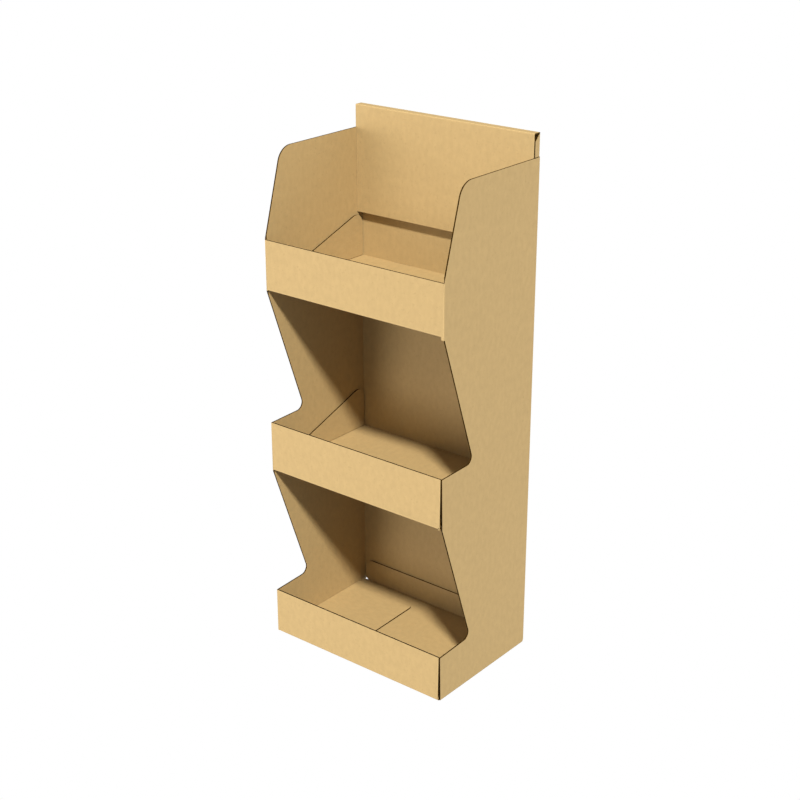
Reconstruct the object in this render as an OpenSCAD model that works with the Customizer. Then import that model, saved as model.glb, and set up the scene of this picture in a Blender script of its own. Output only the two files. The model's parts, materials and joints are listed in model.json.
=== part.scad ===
// Cardboard floor display stand with three tiers.
// One die-cut sheet of corrugated board makes the whole stand. Every crease parts two flat panels,
// and each panel is one sub-part here, drawn folded up, at its real thickness.
// X is the width, the front faces -Y, Z is up, and the origin is the middle of the footprint.

/* [Stand] */
// Width over the two side panels
stand_w = 600; // [500:5:700]
// Depth from the front of the lips to the outer face of the back panel
stand_d = 400; // [340:5:460]
// Height of the side panels
side_h = 1432; // [1400:2:1460]
// Thickness of the corrugated board
board_t = 4; // [3:0.5:5]

/* [Lips] */
// Height of the bottom lip
low_lip_h = 135; // [110:5:150]
// Lower edge of the middle lip
mid_lip_z = 521; // [490:2:540]
// Height of the middle lip
mid_lip_h = 144; // [120:1:160]
// Lower edge of the top lip
top_lip_z = 1053; // [1030:1:1070]
// Height of the top lip
top_lip_h = 140; // [120:1:160]
// Width of the ear left at the right end of the top lip's lower edge, where the shelf's cut meets the corner
ear_w = 8; // [6:0.5:12]
// Drop of that ear below the lip
ear_h = 8; // [4:0.5:10]
// Width of the ears at the left ends of the two upper lips
left_ear_w = 6; // [5.5:0.5:12]
// Drop of those ears
left_ear_h = 1.5; // [1:0.5:4]
// Width of the ear at the glued end of the middle lip
free_ear_w = 5; // [3:0.5:8]
// Drop of that ear
free_ear_h = 3; // [2:0.5:6]
// Slant of its inner side
free_ear_slant = 2; // [1:0.5:2.5]

/* [Side panels] */
// Depth of the cut-outs between the lips, at their foot
cut_d = 136; // [100:1:160]
// Rise of the ledge behind the middle lip, from the lip to the cut-out's corner
mid_ledge_rise = 3; // [0:0.5:8]
// Rise of the ledge behind the bottom lip
low_ledge_rise = 6; // [0:0.5:8]
// Radius of the inner corners of the cut-outs
cut_r = 21; // [10:1:30]
// Set-back of the upper front corner
head_set_back = 69; // [40:1:90]
// Radius of the upper front corner
head_r = 50; // [20:1:60]
// Bevel of the lower rear corners
foot_bevel = 6; // [3:0.5:10]

/* [Shelves] */
// Height of a shelf's underside over its lip's lower edge
shelf_rise = 2; // [0:0.5:6]
// Angle at which the top edge of a tray wall climbs to the back
wall_angle = 19.1; // [15:0.1:20]
// Room between the inside of a lip and the tip of a tray wall
wall_tip = 6; // [4:0.5:12]
// Height of that tip
wall_tip_h = 2; // [1:0.5:4]
// Room between a tray wall and the back panel
wall_rear = 3; // [1:0.5:8]
// Radius of a tray wall's upper rear corner
wall_r = 28; // [15:1:35]
// Width of the two locking tabs on a shelf's rear edge
tab_w = 60; // [40:1:90]
// Distance of a locking tab's middle from the stand's middle
tab_x = 150; // [110:5:180]
// Relief at a shelf's front corners, where three folds meet
shelf_relief = 2; // [1:0.5:4]

/* [Header] */
// Height of the header over the side panels
header_h = 64; // [50:1:80]
// Depth of the header box
header_d = 25; // [20:0.5:40]
// Distance that the header's front sheet hangs below the top of the side panels
header_drop = 240; // [225:1:245]
// Distance of the header's end flaps inside the stand's width
end_inset = 2; // [0.5:0.1:2.5]
// Fall of an end flap's upper edge, from the back to the front
end_fall = 17; // [8:0.5:22]

/* [Glue flaps] */
// Depth of the glue tabs inside the right side panel
glue_d = 35; // [25:1:45]
// Distance of a glue tab's lower end over its lip's lower edge
glue_foot = 30; // [26:1:36]
// Distance of a glue tab's upper end below its lip's top
glue_head = 12; // [8:1:20]
// Narrowing of a glue tab at each end of its free edge
glue_taper = 6; // [2:0.5:10]
// Width of the seam flap outside the back panel
seam_w = 38; // [25:1:50]
// Distance of the seam flap's ends from those of the side panel
seam_end = 20; // [16:1:40]
// Narrowing of the seam flap at each end of its free edge
seam_taper = 14; // [5:1:20]

/* [Base] */
// Width of a dust flap at its front
dust_w = 235; // [180:5:245]
// Narrowing of a dust flap at its rear
dust_taper = 8; // [0:0.5:15]
// Radius of a dust flap's rear corner
dust_r = 25; // [10:1:35]
// Room behind a dust flap, at its crease
dust_rear = 31; // [26:1:50]
// Skew of a dust flap's rear edge, from its crease to its free end
dust_skew = 12; // [0:0.5:20]
// Relief of a dust flap's front corner, past the glue tab
dust_relief = 38; // [36:1:60]
// Height of the tuck flap
tuck_h = 71; // [55:1:80]
// Radius of the tuck flap's upper corners
tuck_r = 27; // [10:1:30]
// Height over its crease at which the tuck flap's ends start to lean in
tuck_waist_h = 16; // [15:0.5:18]
// Height over its crease at which they end
tuck_neck_h = 27; // [20:0.5:28]
// Distance that they lean in
tuck_lean = 7; // [7:0.5:12]
// Bevel that opens the rear corners of the base
corner_bevel = 14; // [8:0.5:15]

/* [Hidden] */

// Clearance between panels that move past each other
run_gap = 0.3;
// Clearance round a tab in its slot, and between an edge and the panel that it slides along
slip_gap = 0.5;
// Distance that every cut runs past the board
cut = 1;
// Steps of a rounded corner in an outline
arc_steps = 10;

kraft = [0.80, 0.64, 0.42];
kraft_light = [0.88, 0.73, 0.51];
kraft_dark = [0.66, 0.51, 0.32];

// The faces that everything is placed by: the seam flap stands outside the back panel,
// so the stand's middle lies half a board behind the middle of the sleeve
front_y = -(stand_d + board_t) / 2;
back_y = front_y + stand_d;
lip_y = front_y + board_t;
wall_y = back_y - board_t;
side_x = stand_w / 2;
inner_x = side_x - board_t;
mid_top_z = mid_lip_z + mid_lip_h;
top_top_z = top_lip_z + top_lip_h;
head_z = side_h + header_h;
top_shelf_z = top_lip_z + shelf_rise;
mid_shelf_z = mid_lip_z + shelf_rise;
header_y = back_y - header_d;
end_x = side_x - end_inset;
dust_z = board_t + run_gap;
tuck_z = board_t + run_gap;
tuck_y = wall_y - run_gap;

// Points of the arc that rounds the corner p of an outline, between the corners before and after it
function corner_arc(before, p, after, r) = r == 0 ? [p] :
    let (
        u = (before - p) / norm(before - p),
        v = (after - p) / norm(after - p),
        half = acos(u * v) / 2,
        middle = p + (u + v) / norm(u + v) * r / sin(half),
        first = p + u * r / tan(half) - middle,
        start = atan2(first.y, first.x),
        turn = -sign(cross(u, v)) * (180 - 2 * half)
    )
    [for (i = [0:arc_steps]) let (a = start + turn * i / arc_steps) middle + r * [cos(a), sin(a)]];

// Points of an outline given as corners [across, up, radius]
function rounded(corners) = let (n = len(corners), p = [for (c = corners) [c.x, c.y]])
    [for (i = [0:n - 1]) each corner_arc(p[(i + n - 1) % n], p[i], p[(i + 1) % n], corners[i].z)];

function mirrored(corners) = [for (i = [len(corners) - 1:-1:0]) [-corners[i].x, corners[i].y, corners[i].z]];

// A panel that faces the front, drawn in X and Z, with its front face at y
module front_sheet(y, corners)
    translate([0, y + board_t, 0])
        rotate([90, 0, 0])
            linear_extrude(board_t) polygon(rounded(corners));

// A panel that faces the side, drawn in Y and Z, from x to the right
module side_sheet(x, corners)
    translate([x, 0, 0])
        rotate([90, 0, 90])
            linear_extrude(board_t) polygon(rounded(corners));

// A panel that lies flat, drawn in X and Y, with its underside at z
module flat_sheet(z, corners)
    translate([0, 0, z])
        linear_extrude(board_t) polygon(rounded(corners));

// The half of a fold's corner square that belongs to the other panel.
// The outer corner is o, the board lies towards s, and the kept panel runs along X or along Y.
module other_half(o, s, along_x, gap = 0)
    translate(o)
        scale(s)
            translate(along_x ? [gap, 0] : [0, gap])
                polygon([[-cut, -cut],
                    along_x ? [-cut, board_t + cut] : [board_t + cut, -cut],
                    [board_t + cut, board_t + cut]]);

// The same cut through an upright fold, between two heights
module upright_mitre(o, s, along_x, z0, z1, gap = 0)
    translate([0, 0, z0])
        linear_extrude(z1 - z0) other_half(o, s, along_x, gap);

// The same cut through a level fold that runs across the stand; the plane is Y and Z
module level_mitre(o, s, along_y, gap = 0)
    rotate([90, 0, 90])
        linear_extrude(stand_w + cut, center = true) other_half(o, s, along_y, gap);

// Corners of a side panel's profile, in depth from the front and height, for a panel as deep as deep.
// Its slanted edges start below the top lip, step back from the front, and below the middle lip.
function side_corners(deep, top_drop, step, mid_drop) = [for (c = [
        [0, 0, 0],
        [deep - foot_bevel, 0, 0],
        [deep, foot_bevel, 0],
        [deep, side_h, 0],
        [head_set_back, side_h, head_r],
        [0, top_top_z, 0],
        [0, top_lip_z - top_drop, 0],
        if (step > 0) [step, top_lip_z - top_drop, 0],
        [cut_d, mid_top_z + mid_ledge_rise, cut_r],
        [0, mid_top_z, 0],
        [0, mid_lip_z - mid_drop, 0],
        [cut_d, low_lip_h + low_ledge_rise, cut_r],
        [0, low_lip_h, 0]]) [front_y + c.x, c.y, c.z]];

// The left side panel reaches past the back panel, to the fold of the seam flap
module left_side_panel()
    color(kraft)
    difference() {
        side_sheet(-side_x, side_corners(stand_d + board_t, left_ear_h, 0, left_ear_h));
        upright_mitre([-side_x, front_y], [1, 1], false, -cut, side_h + cut);
        upright_mitre([-side_x, back_y + board_t], [1, -1], false, seam_end, side_h - seam_end);
    }

// The right side panel folds into the top lip and the back panel; the lower lips are glued inside it
module right_side_panel()
    color(kraft)
    difference() {
        side_sheet(inner_x, side_corners(stand_d, ear_h, board_t, free_ear_h));
        upright_mitre([side_x, front_y], [-1, 1], false, top_lip_z - ear_h - cut, side_h + cut);
        upright_mitre([side_x, back_y], [-1, -1], false, -cut, side_h + cut);
    }

// Slots for the two locking tabs of the shelf whose underside is at z
module tab_slots(z)
    for (side = [-1, 1])
        translate([side * tab_x - tab_w / 2 - slip_gap, wall_y - cut, z - slip_gap])
            cube([tab_w + 2 * slip_gap, board_t + 2 * cut, board_t + 2 * slip_gap]);

// The back panel goes on up behind the header; its lower corners are bevelled open
module back_panel()
    color(kraft_dark)
    difference() {
        front_sheet(wall_y, [
            [-inner_x + corner_bevel, 0, 0],
            [side_x - corner_bevel, 0, 0],
            [side_x, corner_bevel, 0],
            [side_x, side_h + slip_gap, 0],
            [end_x, side_h + slip_gap, 0],
            [end_x, head_z, 0],
            [-end_x, head_z, 0],
            [-end_x, side_h + slip_gap, 0],
            [-inner_x, side_h + slip_gap, 0],
            [-inner_x, corner_bevel, 0]]);
        upright_mitre([side_x, back_y], [-1, -1], true, -cut, side_h + cut);
        for (side = [-1, 1])
            upright_mitre([side * end_x, back_y], [-side, -1], true,
                side_h + slip_gap, head_z - board_t, run_gap);
        level_mitre([back_y, head_z], [-1, -1], false, run_gap);
        for (z = [top_shelf_z, mid_shelf_z])
            tab_slots(z);
    }

// The seam flap folds round the left rear corner and is glued to the outside of the back panel
module seam_flap()
    color(kraft)
    difference() {
        front_sheet(back_y, [
            [-side_x, seam_end, 0],
            [-side_x + board_t, seam_end, 0],
            [-side_x + seam_w, seam_end + seam_taper, 0],
            [-side_x + seam_w, side_h - seam_end - seam_taper, 0],
            [-side_x + board_t, side_h - seam_end, 0],
            [-side_x, side_h - seam_end, 0]]);
        upright_mitre([-side_x, back_y + board_t], [1, -1], true, seam_end - cut, side_h - seam_end + cut);
    }

// Corners of the ear at a lip's left end, and of the one at the middle lip's glued right end
function left_ear(z, w, h) = [[-side_x, z - h, 0], [-side_x + w, z - h, 0], [-side_x + w, z, 0]];
function free_ear(z) = [[inner_x - free_ear_w, z, 0], [inner_x - free_ear_w + free_ear_slant, z - free_ear_h, 0],
    [inner_x, z - free_ear_h, 0]];

// The top lip folds into both side panels
module top_lip()
    color(kraft_light)
    difference() {
        front_sheet(front_y, concat(left_ear(top_lip_z, left_ear_w, left_ear_h),
            mirrored(left_ear(top_lip_z, ear_w, ear_h)), [
            [side_x, top_top_z, 0],
            [-side_x, top_top_z, 0]]));
        for (side = [-1, 1])
            upright_mitre([side * side_x, front_y], [-side, 1], true, top_lip_z - ear_h - cut, top_top_z + cut);
    }

// A lower lip folds out of the left side panel and ends in a glue tab on the right
module free_lip(z0, z1, foot)
    difference() {
        front_sheet(front_y, concat(foot, [[inner_x, z1, 0], [-side_x, z1, 0]]));
        upright_mitre([-side_x, front_y], [1, 1], true, z0 - ear_h - cut, z1 + cut);
        upright_mitre([inner_x, front_y], [-1, 1], true, z0 + glue_foot, z1 - glue_head);
    }

module middle_lip()
    color(kraft_light)
    free_lip(mid_lip_z, mid_top_z, concat(left_ear(mid_lip_z, left_ear_w, left_ear_h), free_ear(mid_lip_z)));

module bottom_lip()
    color(kraft_light)
    free_lip(0, low_lip_h, [[-side_x, 0, 0], [inner_x, 0, 0]]);

// The glue tab of a lower lip, against the inside of the right side panel
module glue_tab(z0, z1)
    color(kraft)
    difference() {
        side_sheet(inner_x - board_t, [
            [front_y, z0 + glue_foot, 0],
            [lip_y, z0 + glue_foot, 0],
            [lip_y + glue_d, z0 + glue_foot + glue_taper, 0],
            [lip_y + glue_d, z1 - glue_head - glue_taper, 0],
            [lip_y, z1 - glue_head, 0],
            [front_y, z1 - glue_head, 0]]);
        upright_mitre([inner_x, front_y], [-1, 1], false, z0, z1);
    }

module middle_glue_tab() glue_tab(mid_lip_z, mid_top_z);
module bottom_glue_tab() glue_tab(0, low_lip_h);

// A shelf folds in from its lip, and its tabs lock in the back panel's slots
module shelf(z)
    color(kraft) {
        flat_sheet(z, [
            [-inner_x, lip_y + shelf_relief, 0],
            [-inner_x + shelf_relief, lip_y, 0],
            [inner_x - shelf_relief, lip_y, 0],
            [inner_x, lip_y + shelf_relief, 0],
            [inner_x, wall_y, 0],
            [-inner_x, wall_y, 0]]);
        for (side = [-1, 1])
            translate([side * tab_x - tab_w / 2, wall_y - cut, z])
                cube([tab_w, board_t + cut, board_t]);
    }

module top_shelf() shelf(top_shelf_z);
module middle_shelf() shelf(mid_shelf_z);

// A tray wall stands on the shelf's edge, on the side panel's inner face.
// It is cut from the side panel's cut-out, so it climbs from nothing at the lip to its height at the back.
tray_x = inner_x - run_gap - board_t;
wall_front = lip_y + wall_tip;
wall_back = wall_y - wall_rear;
module tray_wall(side, z) {
    foot_z = z + board_t + run_gap;
    color(kraft)
        side_sheet(side > 0 ? tray_x : -tray_x - board_t, [
            [wall_front, foot_z, 0],
            [wall_back, foot_z, 0],
            [wall_back, foot_z + wall_tip_h + (wall_back - wall_front) * tan(wall_angle), wall_r],
            [wall_front, foot_z + wall_tip_h, 0]]);
}

module top_wall_left() tray_wall(-1, top_shelf_z);
module top_wall_right() tray_wall(1, top_shelf_z);
module middle_wall_left() tray_wall(-1, mid_shelf_z);
module middle_wall_right() tray_wall(1, mid_shelf_z);

// The strip that folds forward from the back panel's top
module header_top()
    color(kraft_light)
    difference() {
        flat_sheet(head_z - board_t, [
            [-end_x + slip_gap, header_y, 0],
            [end_x - slip_gap, header_y, 0],
            [end_x - slip_gap, back_y, 0],
            [-end_x + slip_gap, back_y, 0]]);
        level_mitre([back_y, head_z], [-1, -1], true);
        level_mitre([header_y, head_z], [1, -1], true);
    }

// The header's front sheet hangs between the side panels, and its shoulders rest on their top edges
module header_front()
    color(kraft_light)
    difference() {
        front_sheet(header_y, let (
            half = inner_x - slip_gap,
            shoulder = end_x - slip_gap) [
            [-half, side_h - header_drop, 0],
            [half, side_h - header_drop, 0],
            [half, side_h + slip_gap, 0],
            [shoulder, side_h + slip_gap, 0],
            [shoulder, head_z, 0],
            [-shoulder, head_z, 0],
            [-shoulder, side_h + slip_gap, 0],
            [-half, side_h + slip_gap, 0]]);
        level_mitre([header_y, head_z], [1, -1], false, run_gap);
    }

// An end flap folds forward from the back panel's edge and closes the header's end
module header_end_flap(side) {
    flap_front = header_y + board_t + slip_gap;
    flap_top = head_z - board_t - slip_gap;
    flap_foot = side_h + 2 * slip_gap;
    color(kraft)
        difference() {
            side_sheet(side > 0 ? end_x - board_t : -end_x, [
                [flap_front, flap_foot, 0],
                [back_y, flap_foot, 0],
                [back_y, flap_top, 0],
                [wall_y, flap_top, 0],
                [flap_front, flap_top - end_fall, 0]]);
            upright_mitre([side * end_x, back_y], [-side, -1], false, side_h, head_z);
        }
}

module header_end_flap_left() header_end_flap(-1);
module header_end_flap_right() header_end_flap(1);

// The bottom panel folds in from the bottom lip, under the dust flaps
module bottom_panel()
    color(kraft_dark)
    flat_sheet(0, [
        [-inner_x + slip_gap, lip_y, 0],
        [inner_x - slip_gap, lip_y, 0],
        [inner_x - slip_gap, tuck_y - foot_bevel, 0],
        [inner_x - slip_gap - foot_bevel, tuck_y, 0],
        [-inner_x + slip_gap + foot_bevel, tuck_y, 0],
        [-inner_x + slip_gap, tuck_y - foot_bevel, 0]]);

// The tuck flap stands on the bottom panel's rear edge, in front of the back panel.
// Its ends lean in, so that it folds forward between dust flaps that stand up.
module tuck_flap() {
    half = inner_x - slip_gap;
    right = [
        [half - corner_bevel, tuck_z, 0],
        [half, tuck_z + corner_bevel, 0],
        [half, tuck_z + tuck_waist_h, 0],
        [half - tuck_lean, tuck_z + tuck_neck_h, 0],
        [half - tuck_lean, tuck_z + tuck_h, tuck_r]];
    color(kraft_dark)
        front_sheet(tuck_y - board_t, concat(right, mirrored(right)));
}

// A dust flap folds in from a side panel's foot and lies on the bottom panel
dust_x = inner_x - run_gap;
module dust_flap(side) {
    front = lip_y + run_gap + slip_gap;
    rear = wall_y - dust_rear;
    corners = [
        [-dust_x, front + dust_relief, 0],
        [-dust_x + dust_relief, front, 0],
        [-dust_x + dust_w, front, 0],
        [-dust_x + dust_w - dust_taper, rear - dust_skew, dust_r],
        [-dust_x, rear, 0]];
    color(kraft)
        flat_sheet(dust_z, side < 0 ? corners : mirrored(corners));
}

module dust_flap_left() dust_flap(-1);
module dust_flap_right() dust_flap(1);

back_panel();
left_side_panel();
right_side_panel();
seam_flap();
top_lip();
middle_lip();
bottom_lip();
middle_glue_tab();
bottom_glue_tab();
header_top();
header_front();
header_end_flap_left();
header_end_flap_right();
top_shelf();
middle_shelf();
top_wall_left();
top_wall_right();
middle_wall_left();
middle_wall_right();
bottom_panel();
tuck_flap();
dust_flap_left();
dust_flap_right();
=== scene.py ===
# %% [markdown]
# A cardboard floor display stand, dressed for the camera.
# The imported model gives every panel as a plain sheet, 4 mm thick, in its place. Real corrugated board is two papers
# glued to a wavy core, its cut edges show that core, and its folds are rounded. This lesson replaces each sheet by
# such a board, cut to the same outline, adds the folds that join them, and ends with the paper, the light and the
# camera.

import json
import math

import bpy
import numpy as np
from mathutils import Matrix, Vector


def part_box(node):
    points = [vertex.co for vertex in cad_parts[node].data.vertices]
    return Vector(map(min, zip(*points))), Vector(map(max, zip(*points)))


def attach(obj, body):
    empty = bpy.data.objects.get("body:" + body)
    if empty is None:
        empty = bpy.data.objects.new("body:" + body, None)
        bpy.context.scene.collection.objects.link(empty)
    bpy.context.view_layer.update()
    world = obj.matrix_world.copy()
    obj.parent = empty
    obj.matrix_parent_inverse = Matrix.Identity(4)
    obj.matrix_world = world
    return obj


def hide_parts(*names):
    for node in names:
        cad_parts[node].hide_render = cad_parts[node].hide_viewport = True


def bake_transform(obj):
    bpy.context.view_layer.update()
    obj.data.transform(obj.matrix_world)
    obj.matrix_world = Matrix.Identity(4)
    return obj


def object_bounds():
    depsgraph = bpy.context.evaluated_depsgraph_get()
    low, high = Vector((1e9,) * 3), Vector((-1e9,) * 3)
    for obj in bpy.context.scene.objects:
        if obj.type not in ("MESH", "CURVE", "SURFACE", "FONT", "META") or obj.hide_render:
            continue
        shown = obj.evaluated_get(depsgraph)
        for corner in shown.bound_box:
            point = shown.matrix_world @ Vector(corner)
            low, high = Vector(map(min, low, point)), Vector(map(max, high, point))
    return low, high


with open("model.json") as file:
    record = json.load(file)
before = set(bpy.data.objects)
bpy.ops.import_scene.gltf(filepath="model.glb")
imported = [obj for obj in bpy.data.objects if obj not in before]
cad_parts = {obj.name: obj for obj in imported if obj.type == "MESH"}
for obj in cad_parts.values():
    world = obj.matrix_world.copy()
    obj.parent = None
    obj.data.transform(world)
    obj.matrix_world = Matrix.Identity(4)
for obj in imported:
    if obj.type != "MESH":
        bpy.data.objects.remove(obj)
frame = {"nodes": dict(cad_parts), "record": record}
cad_low, cad_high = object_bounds()
nodes = frame["nodes"]
body_of = {node: body for body, members in frame["record"]["behaviour"]["bodies"].items() for node in members}
X, Y, Z = 0, 1, 2
scene = bpy.context.scene
print("panels:", len(nodes), "bodies:", len(set(body_of.values())))

# %% [markdown]
# Sizes first. The board's thickness is read from the frame. What the frame can't say is how the board is built
# inside: single-wall board of 4 mm has about 125 waves to the metre, and each paper is a third of a millimetre thick.

# %% Sizes of the board
panel_low, panel_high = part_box("bottom_panel")
board_t = round(panel_high.z - panel_low.z, 5)
paper_t = 0.00035
flute_pitch = 0.0079
flute_steps = 12
flute_swing = (board_t - 3 * paper_t) / 2
core_inset = 0.0003
tiny = 1e-5
print("board", board_t * 1000, "mm, core wave", round(flute_swing * 2000, 2), "mm high,", flute_pitch * 1000, "mm long")

# %% [markdown]
# A panel's outline is already in the frame, on the face that lies inside its folds, where the mitres end. So the
# outline isn't drawn again. One function reads the triangles of that face as flat points, and another finds its rim:
# an edge is on the rim if no second triangle runs along it the other way.

# %% Read a panel's outline from the frame


def flat_axes(normal):
    """The two axes of a sheet that faces along normal, in the order that is right-handed with it."""
    return (normal + 1) % 3, (normal + 2) % 3


def read_outline(node, normal):
    """Points (n, 2) and triangles (m, 3), turning left, of the smaller of a sheet's two flat faces."""
    mesh = nodes[node].data
    mesh.calc_loop_triangles()
    places = np.empty(len(mesh.vertices) * 3, np.float32)
    mesh.vertices.foreach_get("co", places)
    corners = np.empty(len(mesh.loop_triangles) * 3, np.int32)
    mesh.loop_triangles.foreach_get("vertices", corners)
    triangles = places.reshape(-1, 3).astype(float)[corners].reshape(-1, 3, 3)
    depth = triangles[:, :, normal]
    faces = []
    for plane in (depth.min(), depth.max()):
        face = triangles[np.abs(depth - plane).max(axis=1) < tiny][:, :, list(flat_axes(normal))]
        one, two = face[:, 1] - face[:, 0], face[:, 2] - face[:, 0]
        area = one[:, 0] * two[:, 1] - one[:, 1] * two[:, 0]
        face[area < 0] = face[area < 0][:, ::-1]
        faces.append((np.abs(area).sum(), face))
    face = min(faces, key=lambda found: found[0])[1]
    points, index = np.unique(face.reshape(-1, 2).round(6), axis=0, return_inverse=True)
    return points, index.reshape(-1, 3)


def rim_of(triangles):
    """The edges (k, 2) that only one triangle has, in the direction in which it has them."""
    edges = np.concatenate([triangles[:, [0, 1]], triangles[:, [1, 2]], triangles[:, [2, 0]]])
    top = triangles.max() + 1
    return edges[~np.isin(edges[:, 0] * top + edges[:, 1], edges[:, 1] * top + edges[:, 0])]


lip_points, lip_triangles = read_outline("bottom_lip", Y)
print("bottom lip:", len(lip_points), "corners,", len(lip_triangles), "triangles")

# %% [markdown]
# Every piece is put together from parts, and a part is three things: its corners, its faces, and for each face the
# number of its material. Flat paper, cut paper edges with the core, and folded paper each look different.
# A liner is the simplest part: the outline's triangles twice, once turned over, and a wall of quads along the rim. Only
# the side that faces out is clean paper. The side towards the flutes and the cut rim take the look of the core.

# %% A liner from an outline
PAPER, CORE, FOLD = 0, 1, 2
materials = [bpy.data.materials.new(name) for name in ("kraft_paper", "fluted_core", "folded_kraft")]


def liner(points, triangles, outer, inner):
    """A flat paper between two depths: corners (2n, 3) as the outline's two axes and the depth, faces, materials."""
    count, sides = len(points), sorted([(outer, PAPER), (inner, CORE)])
    corners = np.concatenate([np.column_stack([points, np.full(count, depth)]) for depth, _ in sides])
    rim = rim_of(triangles)
    wall = np.column_stack([rim[:, 0], rim[:, 1], rim[:, 1] + count, rim[:, 0] + count])
    faces = triangles[:, ::-1].tolist() + (triangles + count).tolist() + wall.tolist()
    slots = [slot for _, slot in sides for _ in triangles] + [CORE] * len(wall)
    return corners, faces, slots


print("one liner of it:", len(liner(lip_points, lip_triangles, 0, paper_t)[1]), "faces")

# %% [markdown]
# The core is one sheet of paper pressed into a sine wave: its depth is the middle of the board plus the swing times
# the sine of the way across. It is a grid. Columns run along the flutes, twelve to a wave, with one more at each
# corner of the outline, and each column starts and ends where it crosses the rim. All crossings are found at once:
# for every strip between two columns, the rim edges that span it are sorted by height, and each pair of them bounds
# one quad. So notches, slots and slanted edges cut the flutes just as a die would.

# %% The fluted core from the same outline


def flute_columns(across):
    """Places of the grid's columns: a dozen to each wave, and one at each corner of the outline."""
    step = flute_pitch / flute_steps
    steady = np.arange(math.ceil(across.min() / step), math.floor(across.max() / step) + 1) * step
    columns = np.unique(np.concatenate([steady, across]).round(6))
    return columns[np.concatenate([[True], np.diff(columns) > 2 * tiny])]


def core(points, triangles, middle, swap):
    """The wavy paper between the liners: depth = middle + flute_swing * sin(2 pi * across / flute_pitch).

    Its two faces lie half a paper to each side. swap tells that the waves follow each other along the second axis.
    """
    ends = points[rim_of(triangles)]
    if swap:
        ends = ends[:, :, ::-1]
    across, along = ends[:, :, 0], ends[:, :, 1]
    columns = flute_columns(across.ravel())
    left, right = columns[:-1], columns[1:]
    centre = (left + right) / 2
    run = across[:, 1] - across[:, 0]
    slope = (along[:, 1] - along[:, 0]) / np.where(np.abs(run) < tiny, 1, run)
    spans = (across.min(axis=1) < centre[:, None]) & (across.max(axis=1) > centre[:, None])
    # Where the middle of each strip crosses each rim edge, and infinity where it doesn't
    height = np.where(spans, along[:, 0] + slope * (centre[:, None] - across[:, 0]), np.inf)
    order = np.argsort(height, axis=1)
    pairs = spans.sum(axis=1) // 2
    strip, pair = np.nonzero(np.arange(pairs.max()) < pairs[:, None])
    foot, head = order[strip, 2 * pair], order[strip, 2 * pair + 1]
    # Four corners to a pair of crossings, on both faces of the paper: a flat box of eight
    rims = [(foot, left, core_inset), (foot, right, core_inset), (head, right, -core_inset), (head, left, -core_inset)]
    u = np.stack([side[strip] for _, side, _ in rims], axis=1)
    v = np.stack([along[rim, 0] + slope[rim] * (side[strip] - across[rim, 0]) + inset for rim, side, inset in rims],
                 axis=1)
    w = middle + flute_swing * np.sin(2 * math.pi * u / flute_pitch)
    flat = [v, u] if swap else [u, v]
    layers = [np.stack([*flat, w + side * paper_t / 2], axis=2) for side in (-1, 1)]
    corners, index = np.unique(np.stack(layers, axis=1).reshape(-1, 3).round(6), axis=0, return_inverse=True)
    box = index.ravel().reshape(-1, 8)
    faces = np.concatenate([box[:, quad] for quad in ([3, 2, 1, 0], [4, 5, 6, 7], [0, 1, 5, 4], [2, 3, 7, 6])])
    sides = np.concatenate([box[:, quad] for quad in ([3, 0, 4, 7], [1, 2, 6, 5])])
    # A side that two boxes share lies inside the paper and is left out
    _, first, shared = np.unique(np.sort(sides, axis=1), axis=0, return_index=True, return_counts=True)
    faces = np.concatenate([faces, sides[first[shared == 1]]])
    return corners, (faces[:, ::-1] if swap else faces).tolist(), [CORE] * len(faces)


print("its core:", len(core(lip_points, lip_triangles, 0, True)[1]), "faces")

# %% [markdown]
# Folds and rounded edges are prisms: a small profile carried straight along the crease. Its two ends may have a
# place of their own for each point of the profile, so that an end can be cut at a slant.

# %% A prism along an axis


def arc(centre, radius, first, last, steps=8):
    """Points at centre + radius * (cos a, sin a), for even steps of a from first to last, in degrees."""
    angle = np.radians(np.linspace(first, last, steps + 1))
    return np.column_stack([centre[0] + radius * np.cos(angle), centre[1] + radius * np.sin(angle)])


def prism(profile, axes, start, end):
    """A closed profile (n, 2) in two axes, carried along the third from start to end, numbers or (n,) arrays.

    Corner i is at start[i], corner n + i at end[i]. Walls join neighbours, and the profile itself closes both ends.
    """
    profile, count, axis = np.asarray(profile, float), len(profile), 3 - sum(axes)
    ends = [np.broadcast_to(np.asarray(place, float), count) for place in (start, end)]
    after = np.roll(profile, -1, axis=0)
    turns_left = (profile[:, 0] * after[:, 1] - profile[:, 1] * after[:, 0]).sum() > 0
    if turns_left != ((axes[1] - axes[0]) % 3 == 1):
        profile, ends = profile[::-1], [place[::-1] for place in ends]
    corners = np.empty((2 * count, 3))
    corners[:, list(axes)] = np.concatenate([profile, profile])
    corners[:, axis] = np.concatenate(ends)
    here = np.arange(count)
    walls = np.column_stack([here, np.roll(here, -1), np.roll(here, -1) + count, here + count])
    return corners, walls.tolist() + [here[::-1].tolist(), (here + count).tolist()], [FOLD] * count + [CORE] * 2


print("a half-round bead:", len(prism(arc((0, 0), board_t / 2, -90, 90), (X, Z), 0, 1)[1]), "faces")

# %% [markdown]
# One function turns parts into a piece. The mesh keeps a UV map in real metres, across the flutes and along them,
# because the paper's grain follows the flutes and not the stand's axes. It also keeps one number for each corner, how
# much painted shade darkens it there, which the material of the cut edges reads. Shading is smooth but breaks at sharp
# corners.

# %% Make a mesh piece
sharp_angle = math.radians(60)


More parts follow.
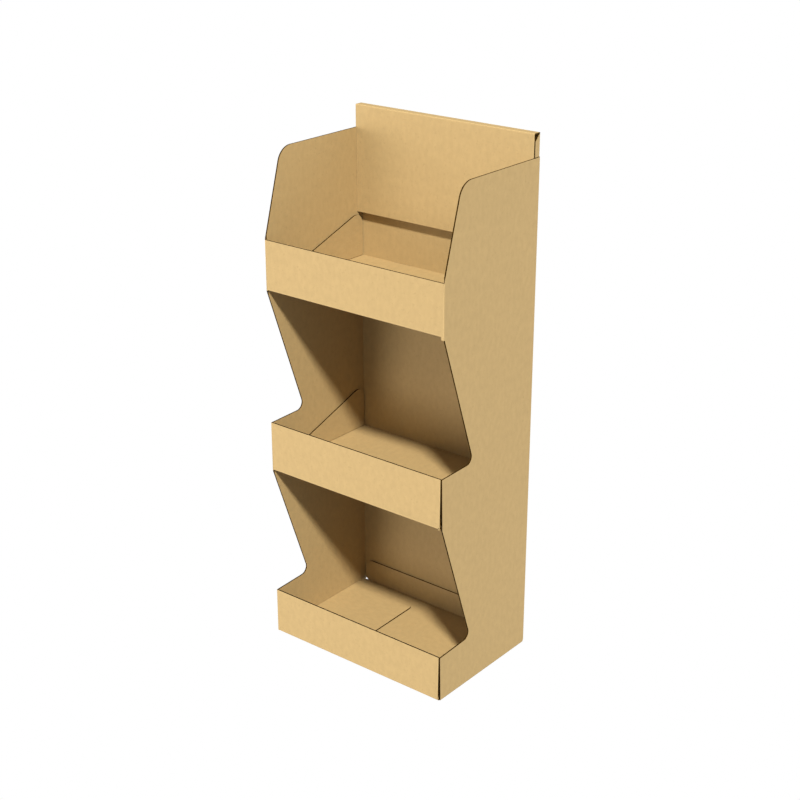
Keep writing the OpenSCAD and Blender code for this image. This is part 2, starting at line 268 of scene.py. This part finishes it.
def make_piece(name, parts, across, along, body=None, painted_shade=None):
    """A mesh object from parts, in the three board materials, riding on a body if one is named.

    Its UV map is the place along the axis across and along the axis along, in metres.
    """
    starts = np.cumsum([0] + [len(corners) for corners, _, _ in parts])
    places = np.concatenate([corners for corners, _, _ in parts])
    faces = [[start + i for i in face] for start, (_, part, _) in zip(starts, parts) for face in part]
    mesh = bpy.data.meshes.new(name)
    mesh.from_pydata(places.tolist(), [], faces)
    for material in materials:
        mesh.materials.append(material)
    mesh.polygons.foreach_set("material_index", np.concatenate([slots for _, _, slots in parts]).astype(np.int32))
    mesh.polygons.foreach_set("use_smooth", np.ones(len(faces), bool))
    mesh.set_sharp_from_angle(angle=sharp_angle)
    corner_of = np.empty(len(mesh.loops), np.int32)
    mesh.loops.foreach_get("vertex_index", corner_of)
    board_map = mesh.uv_layers.new(name="board")
    board_map.data.foreach_set("uv", places[corner_of][:, [across, along]].astype(np.float32).ravel())
    # Each corner's number of painted shade, which the core's material reads to darken the cut edge there
    shade = mesh.attributes.new("painted_shade", "FLOAT", "POINT")
    shade.data.foreach_set("value", (painted_shade(places) if painted_shade else np.zeros(len(places))).astype(np.float32))
    piece = bpy.data.objects.new(name, mesh)
    scene.collection.objects.link(piece)
    if body:
        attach(piece, body)
    return piece


print("a corner is sharp from", round(math.degrees(sharp_angle)), "degrees on")

# %% [markdown]
# Now a whole board. Its outline may need small moves where an edge isn't cut but creased: there the board stops short
# and a rounded paper takes over. Where a crease folds inwards, the papers close over the edge, and no flutes show:
# a half-round bead, as thick as the board, does that. The first board made is the left side panel. Its flutes stand
# upright, so they follow each other across its depth, and a bead closes its foot.

# %% Make a board


def turned(part, normal):
    """A part made in a sheet's own two axes and depth, turned into the stand's axes."""
    corners, faces, slots = part
    places = np.empty_like(corners)
    places[:, [*flat_axes(normal), normal]] = corners
    return places, faces, slots


def board(node, normal, across, beads=(), moves=(), reshape=None, painted_shade=None):
    """One panel as corrugated board. Each bead (axis, side) closes an edge; each move (axis, old, new) shifts one.

    reshape changes the outline's points before that, and the last argument gives each corner its number of painted
    shade.
    """
    points, triangles = read_outline(node, normal)
    if reshape:
        points = reshape(points)
    axes, (low, high) = flat_axes(normal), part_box(node)
    middle, radius, parts = (low[normal] + high[normal]) / 2, board_t / 2, []
    # A beaded edge ends one radius short, so that the bead's round back lies where the edge was
    for axis, side in beads:
        edge = (high if side > 0 else low)[axis]
        moves = [*moves, (axis, edge, edge - side * radius)]
    for axis, old, new in moves:
        points[np.abs(points[:, axes.index(axis)] - old) < tiny, axes.index(axis)] = new
    for axis, side in beads:
        column = axes.index(axis)
        edge = (high if side > 0 else low)[axis] - side * radius
        reach = points[np.abs(points[:, column] - edge) < tiny, 1 - column]
        bow = arc((edge, middle), radius, -90, 90) if side > 0 else arc((edge, middle), radius, 90, 270)
        parts.append(prism(bow, (axis, normal), reach.min(), reach.max()))
    for outer, inwards in ((low[normal], 1), (high[normal], -1)):
        parts.append(turned(liner(points, triangles, outer, outer + inwards * paper_t), normal))
    parts.append(turned(core(points, triangles, middle, axes[0] != across), normal))
    piece = make_piece(node + "_board", parts, across, 3 - normal - across, body_of[node], painted_shade)
    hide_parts(node)
    return piece


boards = {"left_side_panel": board("left_side_panel", X, Y, beads=[(Z, -1)])}
print("left side panel:", len(boards["left_side_panel"].data.polygons), "faces")

# %% [markdown]
# The places that creases are measured from come from the boxes of the panels, so that no size is written twice. Three
# sizes aren't in a box. Where a panel turns, the solids keep a running gap of 0.3 mm, which a fold has to close. The
# shelves' creases lie 2 mm above the lips' lower edges. And a fold's outer paper has a small radius of its own.

# %% Where the creases are
front, rear = cad_low.y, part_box("back_panel")[1].y
left, right = cad_low.x, cad_high.x
lip_back, wall_front = front + board_t, rear - board_t
inner_left, inner_right = left + board_t, right - board_t
header_front_y, head_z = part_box("header_top")[0].y, cad_high.z
end_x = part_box("header_end_flap_right")[1].x
run_gap, crease_rise, bend_r = 0.0003, 0.002, 0.0015
header_edge = (Z, head_z - board_t - run_gap, head_z - board_t)
shelf_under = {shelf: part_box(shelf)[0].z for shelf in ("top_shelf", "middle_shelf")}
lip_under = {shelf: under - crease_rise for shelf, under in shelf_under.items()}

# %% [markdown]
# The two lower lips aren't folded out of the right side panel: they end in front of it, glued by a hidden tab. Such a
# joint never sits tight. Both edges draw back from it towards the foot, so it shows as a line that widens downwards,
# and painted shade darkens it downwards, as the shade in the gap. Both effects are one share: 0 at a lip's top, 1 at
# its foot, even in between.

# %% The open joints beside the lower lips
lip_gap_top, lip_gap_foot, side_gap_foot = 0.0011, 0.0025, 0.0035
# Painted shade: the lips' raw top edges darken on their last millimetre, and the open joints towards the foot
lip_top_shade, lip_top_shade_depth = 0.8, 0.001
lower_lips = [[corner.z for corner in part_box(lip)] for lip in ("middle_lip", "bottom_lip")]


def down_a_lip(z):
    """The share for an array of heights: (high - z) / (high - low) of the lower lip beside it, and 0 beside none."""
    return sum(np.where((z > low - board_t) & (z < high), np.clip((high - z) / (high - low), 0, 1), 0)
               for low, high in lower_lips)


def drawn_back(x, z):
    """Places across the front: those in the last 6 mm before inner_right move left by top + share * (foot - top)."""
    gap = lip_gap_top + (lip_gap_foot - lip_gap_top) * down_a_lip(z)
    return np.where(x > inner_right - 1.5 * board_t, x - gap, x)


def lip_drawn_back(points):
    """A lower lip's outline, in height and width, with its right end moved to the left."""
    height, width = points.T
    return np.column_stack([height, drawn_back(width, height)])


def side_drawn_back(points):
    """The right side panel's outline, in depth and height, with its front edge moved to the rear beside those lips."""
    depth, height = points.T
    return np.column_stack([np.where(np.abs(depth - front) < tiny, depth + side_gap_foot * down_a_lip(height), depth),
                            height])


def lip_top_painted_shade(places):
    """Painted shade for a lip's corners (n, 3): the set amount on the last millimetre of its height, else none."""
    return np.where(places[:, Z] > places[:, Z].max() - lip_top_shade_depth, lip_top_shade, 0)


def joint_painted_shade(places):
    """Painted shade from 0 to 1 for corners (n, 3), the shade in the open joint: the share itself, near the joint."""
    x, y, z = places.T
    return np.where((y < front + 2 * board_t - tiny) & (x > inner_right - board_t), down_a_lip(z), 0)


print("each lower lip draws back", lip_gap_top * 1000, "mm at its top and", lip_gap_foot * 1000, "mm at its foot")

# %% [markdown]
# The boards. Flutes run one way through the whole blank, and its folds turn them. They stand upright in the walls and
# lips, where they carry the load. They run from front to back in the shelves, the base and the tray walls, and from
# side to side in the dust flaps. The lips' raw upper edges get painted shade, darker than the light from above leaves
# them.

# %% The standing boards
boards.update({
    "right_side_panel": board("right_side_panel", X, Y, beads=[(Z, -1)], reshape=side_drawn_back, painted_shade=joint_painted_shade),
    "back_panel": board("back_panel", Y, X, moves=[
        header_edge,
        (X, board_t + run_gap - end_x, board_t - end_x),
        (X, end_x - board_t - run_gap, end_x - board_t)]),
    "seam_flap": board("seam_flap", Y, X),
    "top_lip": board("top_lip", Y, X, painted_shade=lip_top_painted_shade,
                     moves=[(Z, lip_under["top_shelf"], lip_under["top_shelf"] + board_t)]),
    "middle_lip": board("middle_lip", Y, X, reshape=lip_drawn_back, painted_shade=lip_top_painted_shade,
                        moves=[(Z, lip_under["middle_shelf"], lip_under["middle_shelf"] + board_t)]),
    "bottom_lip": board("bottom_lip", Y, X, reshape=lip_drawn_back, painted_shade=lip_top_painted_shade,
                        moves=[(Z, cad_low.z, cad_low.z + board_t)]),
    "tuck_flap": board("tuck_flap", Y, X, beads=[(Z, -1)]),
    "header_front": board("header_front", Y, X, moves=[header_edge]),
})
for node in ("middle_glue_tab", "bottom_glue_tab", "header_end_flap_left", "header_end_flap_right"):
    boards[node] = board(node, X, Y)
for node in ("top_wall_left", "top_wall_right", "middle_wall_left", "middle_wall_right"):
    boards[node] = board(node, X, Z, beads=[(Z, -1)])
print("standing boards:", len(boards))

# %% [markdown]
# The boards that lie: the shelves, the base, the strip on top of the header and the two dust flaps. A shelf carries a
# tray wall on each end, so both its ends are closed with a bead. The dust flaps hang on the side panels' feet.

# %% The lying boards
for node in ("top_shelf", "middle_shelf"):
    boards[node] = board(node, Z, X, beads=[(X, -1), (X, 1)])
boards["bottom_panel"] = board("bottom_panel", Z, X, beads=[(Y, 1)])
boards["header_top"] = board("header_top", Z, X)
boards["dust_flap_left"] = board("dust_flap_left", Z, Y, beads=[(X, -1)])
boards["dust_flap_right"] = board("dust_flap_right", Z, Y, beads=[(X, 1)])
print("boards:", len(boards), "faces:", sum(len(piece.data.polygons) for piece in boards.values()))

# %% [markdown]
# Folds that turn outwards. Two boards meet there at a right angle, and the fold is the block of crushed board in the
# corner between them. Its outer paper turns the corner with a small radius. Its ends follow the two panels, which
# needn't end at the same height. A header fold is given its two bodies, but it is built in place and rides on neither;
# the places of two gates near its middle are worked out and not used.

# %% Make an outward fold
fold_points = 7
gates_at = (0.4, 0.6)


def ends_on(node, normal, axis, place, near=None):
    """Where a panel's outline begins and ends on the line axis = place, or the two corners nearest to near."""
    points, _ = read_outline(node, normal)
    column = flat_axes(normal).index(axis)
    found = points[np.abs(points[:, column] - place) < tiny, 1 - column]
    return (found.min(), found.max()) if near is None else [found[np.argmin(np.abs(found - at))] for at in near]


def outward_fold(name, axes, centre, first, second, first_ends, second_ends, bodies=None):
    """A rounded corner about the fold's inner corner, from the first panel's outer face to the second one's.

    With t for the board, r for bend_r and a turning from 0 to 90 degrees, its outer points lie at
    centre + (t - r) * (first + second) + r * (cos a * first + sin a * second). Each end leaves the first panel's end
    on that panel's face, and has reached the second panel's end at the outer corner.
    """
    centre, first, second = (np.array(place, float) for place in (centre, first, second))
    turn = np.radians(np.linspace(0, 90, fold_points))[:, None]
    bow = (board_t - bend_r) * (first + second) + bend_r * (np.cos(turn) * first + np.sin(turn) * second)
    profile = centre + np.concatenate([[board_t * first], bow, [board_t * second, core_inset * second],
                                       [core_inset * first]])
    reach = (profile - centre) @ (second - first) / board_t
    share = np.clip(reach + 1, 0, 1)
    start, end = (a + (b - a) * share for a, b in zip(first_ends, second_ends))
    part = prism(profile, axes, start, end)
    along = 3 - sum(axes)
    piece = make_piece(name, [part], axes[0] if along == Z else along, along if along == Z else axes[0],
                       None if bodies else "root")
    if bodies:
        for at in gates_at:
            gate = np.zeros(3)
            gate[list(axes)] = centre + board_t * ((1 - at) * first + at * second)
        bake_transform(piece)
    return piece


print("the bottom lip's left end reaches from", *(round(z, 4) for z in ends_on("bottom_lip", Y, X, inner_left)), "m up")

# %% [markdown]
# The upright folds. The lips turn into the left side panel, and the top lip turns into the right one as well. At the
# rear, the right side panel turns into the back panel, and the left one turns into the seam flap. The two lower lips
# turn into their glue tabs instead, flat against the inside of the right side panel. That corner is a square block,
# and its right end is the raw edge that shows in the open joint.

# %% The upright folds
folds = []
for lip in ("top_lip", "middle_lip", "bottom_lip"):
    lip_ends = ends_on(lip, Y, X, inner_left)
    side_ends = ends_on("left_side_panel", X, Y, lip_back, near=lip_ends)
    folds.append(outward_fold("left_fold_of_" + lip, (X, Y), (inner_left, lip_back), (-1, 0), (0, -1),
                              side_ends, lip_ends))
lip_ends = ends_on("top_lip", Y, X, inner_right)
folds.append(outward_fold("right_fold_of_top_lip", (X, Y), (inner_right, lip_back), (1, 0), (0, -1),
                          ends_on("right_side_panel", X, Y, lip_back, near=lip_ends), lip_ends))
folds.append(outward_fold("right_rear_fold", (X, Y), (inner_right, wall_front), (1, 0), (0, 1),
                          ends_on("right_side_panel", X, Y, wall_front), ends_on("back_panel", Y, X, inner_right)))
flap_ends = ends_on("seam_flap", Y, X, inner_left)
folds.append(outward_fold("left_rear_fold", (X, Y), (inner_left, rear), (-1, 0), (0, 1), flap_ends, flap_ends))
for lip in ("middle_lip", "bottom_lip"):
    start, end = ends_on(lip.replace("lip", "glue_tab"), X, Y, lip_back)
    corners, faces, slots = prism([(inner_right - board_t, front), (inner_right, front), (inner_right, lip_back),
                                   (inner_right - board_t, lip_back)], (X, Y), start, end)
    slots[1] = CORE
    corners[:, X] = drawn_back(corners[:, X], corners[:, Z])
    # The block's raw end gets the open joint's painted shade
    folds.append(make_piece("glue_tab_fold_of_" + lip, [(corners, faces, slots)], X, Z, "root", joint_painted_shade))
print("upright folds:", [piece.name for piece in folds])

# %% [markdown]
# The lower edges of the lips. The bottom lip turns into the base in a plain outward fold. The upper two carry
# shelves, whose crease lies 2 mm higher than the lip's edge, so their paper turns a quarter round and then slopes up
# to meet the underside of the shelf.

# %% The level folds under the lips
low_z = cad_low.z
slope_run = 0.006
folds.append(outward_fold("lower_fold_of_bottom_lip", (Y, Z), (lip_back, low_z + board_t), (-1, 0), (0, -1),
                          (inner_left, inner_right - lip_gap_foot), ends_on("bottom_panel", Z, Y, lip_back)))
for shelf, lip in (("top_shelf", "top_lip"), ("middle_shelf", "middle_lip")):
    under, foot = shelf_under[shelf], lip_under[shelf]
    bow = arc((front + bend_r, foot + bend_r), bend_r, 180, 270)
    profile = np.concatenate([[(front, foot + board_t)], bow, [(lip_back, foot), (lip_back + slope_run, under),
                                                              (lip_back, under), (lip_back, foot + board_t)]])
    start, end = ends_on(lip, Y, Z, foot)
    folds.append(make_piece("lower_fold_of_" + lip, [prism(profile, (Y, Z), start, end)], X, Z, "root"))
print("all fixed folds:", len(folds))

# %% [markdown]
# The header's folds. Two run along its top, behind and in front of the strip, and two stand at its ends, where the
# small flaps turn in from the back panel. Each one names the two bodies that it joins.

# %% The header's folds
top_ends = ends_on("header_top", Z, Y, wall_front)
folds.append(outward_fold("rear_header_fold", (Y, Z), (wall_front, head_z - board_t), (1, 0), (0, 1),
                          top_ends, top_ends, ("root", "header_top")))
folds.append(outward_fold("front_header_fold", (Y, Z), (header_front_y + board_t, head_z - board_t), (0, 1), (-1, 0),
                          top_ends, top_ends, ("header_top", "header_front")))
for name, side in (("left", -1), ("right", 1)):
    flap = "header_end_flap_" + name
    flap_ends = ends_on(flap, X, Y, wall_front)
    folds.append(outward_fold(name + "_header_end_fold", (X, Y), (side * (end_x - board_t), wall_front), (0, 1),
                              (side, 0), flap_ends, flap_ends, ("root", flap)))
print("all folds:", len(folds))

# %% [markdown]
# The materials are procedural, which means that noise and waves are worked out at every point, and no picture is used.
# A material is a tree of nodes, and the same three steps come back in each: noise, a ramp that keeps only the part of
# it between two limits, and a mix of two colours by that. A helper for each keeps the materials short to read. The base
# colour is kraft, as a share of the light that it sends back in red, green and blue.

# %% Shader helpers
KRAFT = (0.376, 0.26, 0.122)


def add_node(tree, kind, inputs=None, **settings):
    """A shader node with its settings; each input gets a value, or a link from another node's output."""
    made = tree.nodes.new("ShaderNode" + kind)
    for name, value in settings.items():
        setattr(made, name, value)
    for name, value in (inputs or {}).items():
        if isinstance(value, bpy.types.NodeSocket):
            tree.links.new(value, made.inputs[name])
        else:
            made.inputs[name].default_value = value
    return made


def ramp(tree, factor, low, high):
    """A grey that is 0 up to low and 1 from high on."""
    return add_node(tree, "MapRange", {"Value": factor, "From Min": low, "From Max": high}).outputs["Result"]


def blended(tree, factor, first, second):
    """A colour between two colours, each a value or an output."""
    mix = add_node(tree, "Mix", data_type="RGBA")
    for socket, value in zip((mix.inputs["Factor"], mix.inputs[6], mix.inputs[7]), (factor, first, second)):
        if isinstance(value, bpy.types.NodeSocket):
            tree.links.new(value, socket)
        else:
            socket.default_value = value
    return mix.outputs[2]


def grain(tree, source, scale, detail=2.0, stretch=(1, 1, 1)):
    """Noise between 0 and 1; scale is about one feature to each 1/scale metres, stretch divides it along an axis."""
    place = add_node(tree, "Mapping", {"Vector": source, "Scale": tuple(scale / way for way in stretch)})
    return add_node(tree, "TexNoise", {"Vector": place.outputs["Vector"], "Scale": 1, "Detail": detail}).outputs["Fac"]


def tinted(colour, amount):
    """A colour as a node's value, each channel times (1 + amount): lighter above 0, darker below."""
    return (*[channel * (1 + amount) for channel in colour], 1)


print("kraft, a tenth darker:", [round(channel, 3) for channel in tinted(KRAFT, -0.1)[:3]])

# %% [markdown]
# The paper. Kraft liner is matt and nearly even. Its colour changes by a few parts in a hundred, in small clouds that
# run along the flutes and in slow ones, and it has dark flecks and, here and there, a dark fibre. The small clouds and
# the fibres read the board's own map, so that they follow the flutes on every panel. The rest reads Object coordinates.
# The washboard is real too: glue pulls the liner a little towards each wave, and grazing light shows it.

# %% Kraft liner


def start_paper(material, roughness, gloss=0.3):
    """The material's node tree, its shader, and the outputs of its Object coordinates and its board map."""
    material.use_nodes = True
    tree = material.node_tree
    shader = tree.nodes["Principled BSDF"]
    shader.inputs["Roughness"].default_value = roughness
    shader.inputs["Specular IOR Level"].default_value = gloss
    return tree, shader, add_node(tree, "TexCoord").outputs["Object"], add_node(
        tree, "UVMap", uv_map="board").outputs["UV"]


def paint_liner(material, colour, washboard):
    """Clouds of 13 by 23 mm along the flutes and of 90 mm, flecks, dark fibres, and a wave at every flute pitch."""
    tree, shader, place, board_place = start_paper(material, 0.8)
    clouds = blended(tree, ramp(tree, grain(tree, board_place, 75, 2.0, (1, 1.7, 1)), 0.3, 0.7),
                     tinted(colour, -0.085), tinted(colour, 0.085))
    slow = blended(tree, ramp(tree, grain(tree, place, 11), 0.35, 0.65), tinted(colour, -0.012), tinted(colour, 0.012))
    even = blended(tree, 0.5, clouds, slow)
    flecks = ramp(tree, grain(tree, place, 130, 1.0), 0.62, 0.8)
    flecked = blended(tree, flecks, even, tinted(colour, -0.1))
    fibres = ramp(tree, grain(tree, board_place, 900, 1.0, (1, 14, 1)), 0.74, 0.8)
    tree.links.new(blended(tree, fibres, flecked, tinted(colour, -0.35)), shader.inputs["Base Color"])
    waves = add_node(tree, "TexWave", {"Vector": board_place, "Scale": math.pi / (10 * flute_pitch), "Distortion": 0},
                     bands_direction="X")
    fleece = add_node(tree, "Bump", {"Height": grain(tree, place, 900, 3.0), "Distance": 0.00006, "Strength": 0.5})
    bent = add_node(tree, "Bump", {"Height": waves.outputs["Fac"], "Normal": fleece.outputs["Normal"],
                                   "Distance": washboard, "Strength": 1.0})
    tree.links.new(bent.outputs["Normal"], shader.inputs["Normal"])
    return material


paint_liner(materials[PAPER], KRAFT, 0.00003)
print("liner:", len(materials[PAPER].node_tree.nodes), "nodes")

# %% [markdown]
# Folded paper is the same liner, stretched over the crease: a shade lighter, with fine cracks along the fold. The cut
# edge and the core between the liners are another paper, recycled and much darker, and a cut makes it rough. Painted
# shade makes the core darker still, where a piece's own numbers say so: on the lips' upper edges and in the open
# joints.

# %% Folded paper and the core


def paint_fold(material, colour):
    """Short cracks that lie along the crease: a noise much finer across the map than along it."""
    tree, shader, place, board_place = start_paper(material, 0.75)
    clouds = blended(tree, ramp(tree, grain(tree, place, 260), 0.3, 0.7), tinted(colour, -0.03), tinted(colour, 0.03))
    cracks = ramp(tree, grain(tree, board_place, 1500, 2.0, (9, 1, 1)), 0.68, 0.78)
    tree.links.new(blended(tree, cracks, clouds, tinted(colour, -0.18)), shader.inputs["Base Color"])
    dents = add_node(tree, "Bump", {"Height": grain(tree, place, 500, 3.0), "Distance": 0.0001, "Strength": 0.5})
    tree.links.new(dents.outputs["Normal"], shader.inputs["Normal"])
    return material


def paint_core(material, colour):
    """A dark paper with light fibres torn up by the cut, in noise of half a millimetre and of 8 mm, and the painted
    shade.
    """
    tree, shader, place, _ = start_paper(material, 1.0, 0.0)
    patches = blended(tree, ramp(tree, grain(tree, place, 120), 0.35, 0.65), tinted(colour, -0.3), tinted(colour, 0.3))
    torn = ramp(tree, grain(tree, place, 2000, 2.0), 0.6, 0.75)
    cut = blended(tree, torn, patches, tinted(colour, 0.8))
    # Painted shade: the corners' numbers darken the cut core towards nearly black
    painted_shade = ramp(tree, add_node(tree, "Attribute", attribute_name="painted_shade").outputs["Fac"], 0, 0.8)
    tree.links.new(blended(tree, painted_shade, cut, tinted(colour, -0.85)), shader.inputs["Base Color"])
    rough = add_node(tree, "Bump", {"Height": grain(tree, place, 1500, 3.0), "Distance": 0.0002, "Strength": 0.6})
    tree.links.new(rough.outputs["Normal"], shader.inputs["Normal"])
    return material


paint_fold(materials[FOLD], tuple(channel * 1.05 for channel in KRAFT))
paint_core(materials[CORE], (0.04, 0.02, 0.003))
print("materials:", [material.name for material in materials])

# %% [markdown]
# The camera stands where the photographer stood. Twenty-seven corners of the stand were marked in the photograph, and
# the place, the angles and the lens were fitted to them, together with the stand's sizes. Its straight edges, measured
# alike in the photograph and in a render, then moved the camera by another 9 mm. The three numbers of the place, the
# two angles and the focal length are the result; the camera isn't tilted to the side.

# %% Camera
camera_place = (2.4539, -3.0498, 2.3587)
camera_azimuth, camera_elevation = 38.833, 22.397
sensor_mm, focal_mm = 36, 69.32


def towards(azimuth, elevation):
    """Unit vector (sin a cos e, -cos a cos e, sin e) to azimuth a, from the front to the right, and elevation e."""
    a, e = math.radians(azimuth), math.radians(elevation)
    return Vector((math.sin(a) * math.cos(e), -math.cos(a) * math.cos(e), math.sin(e)))


camera = bpy.data.objects.new("camera", bpy.data.cameras.new("camera"))
camera.data.sensor_width = sensor_mm
camera.data.lens = focal_mm
camera.data.clip_end = 100
camera.location = camera_place
camera.rotation_euler = (-towards(camera_azimuth, camera_elevation)).to_track_quat("-Z", "Y").to_euler()
scene.collection.objects.link(camera)
scene.camera = camera
print("camera:", camera_place, "m, it sees", round(math.degrees(camera.data.angle), 1), "degrees")

# %% [markdown]
# The floor. In the photograph the stand is cut out on pure white, without a shadow. So the floor gives off exactly the
# white that the picture can show: brighter, and it would eat into the outline of the stand. It casts no light on the
# stand: that comes from the lamps and the sky. A dome of the same white closes the view above the floor's far edge.

# %% Floor and dome
floor_size, dome_r = 80, 39
scene.view_settings.view_transform = "Standard"
white = bpy.data.materials.new("studio_white")
white.use_nodes = True
paint = white.node_tree.nodes["Principled BSDF"]
for name, value in (("Base Color", (0, 0, 0, 1)), ("Specular IOR Level", 0), ("Emission Color", (1, 1, 1, 1)),
                    ("Emission Strength", 1.0)):
    paint.inputs[name].default_value = value
bpy.ops.mesh.primitive_plane_add(size=floor_size, location=(0, 0, -0.0005))
floor = bpy.context.object
floor.name = "floor"
bpy.ops.mesh.primitive_uv_sphere_add(segments=64, ring_count=32, radius=dome_r)
dome = bpy.context.object
dome.name = "dome"
dome.visible_shadow = dome.visible_glossy = False
for surface in (floor, dome):
    surface.visible_diffuse = False
    surface.data.materials.append(white)
print("stage:", floor.name, dome.name)

# %% [markdown]
# The light. A kraft board has no gloss to speak of, so what the picture shows is only how much light each panel gets.
# The sharp shadows under the lips and of the right side panel come from one key lamp at the right, above the camera:
# their edges give its direction, and their softness its width. The shaded panels still show their colour, because a
# pale room sends light back from all sides: low, wide lamps and an even sky do that here. The lamps themselves are
# hidden from the camera.

# %% Light
lamp_distance, lamp_width = 7, 3
stand_middle = Vector((0, 0, 0.75))


def add_light(name, kind, power, colour, azimuth, elevation):
    """A light that shines at the middle of the stand from lamp_distance away."""
    lamp = bpy.data.objects.new(name, bpy.data.lights.new(name, kind))
    lamp.data.energy = power
    lamp.data.color = colour
    way = towards(azimuth, elevation)
    lamp.location = stand_middle + lamp_distance * way
    lamp.rotation_euler = (-way).to_track_quat("-Z", "Y").to_euler()
    scene.collection.objects.link(lamp)
    return lamp


key = add_light("key", "SUN", 5.64, (1.0, 0.982, 0.868), 42.95, 46.64)
key.data.angle = 0.085
for name, power, azimuth, elevation in (("front_left", 208, -20, 5), ("left", 82, -55, 10), ("low_left", 65, -40, 3),
                                        ("right_rear", 82, 110, 15), ("rear", 110, 180, 5)):
    fill = add_light(name, "AREA", power, (1.0, 0.96, 0.875), azimuth, elevation)
    fill.visible_camera = False
    fill.data.shape = "DISK"
    fill.data.size = lamp_width

world = bpy.data.worlds.new("studio")
scene.world = world
world.use_nodes = True
world.node_tree.nodes["Background"].inputs["Color"].default_value = (0.98, 1.0, 0.92, 1)
world.node_tree.nodes["Background"].inputs["Strength"].default_value = 0.459
print("lights:", [light.name for light in bpy.data.lights])
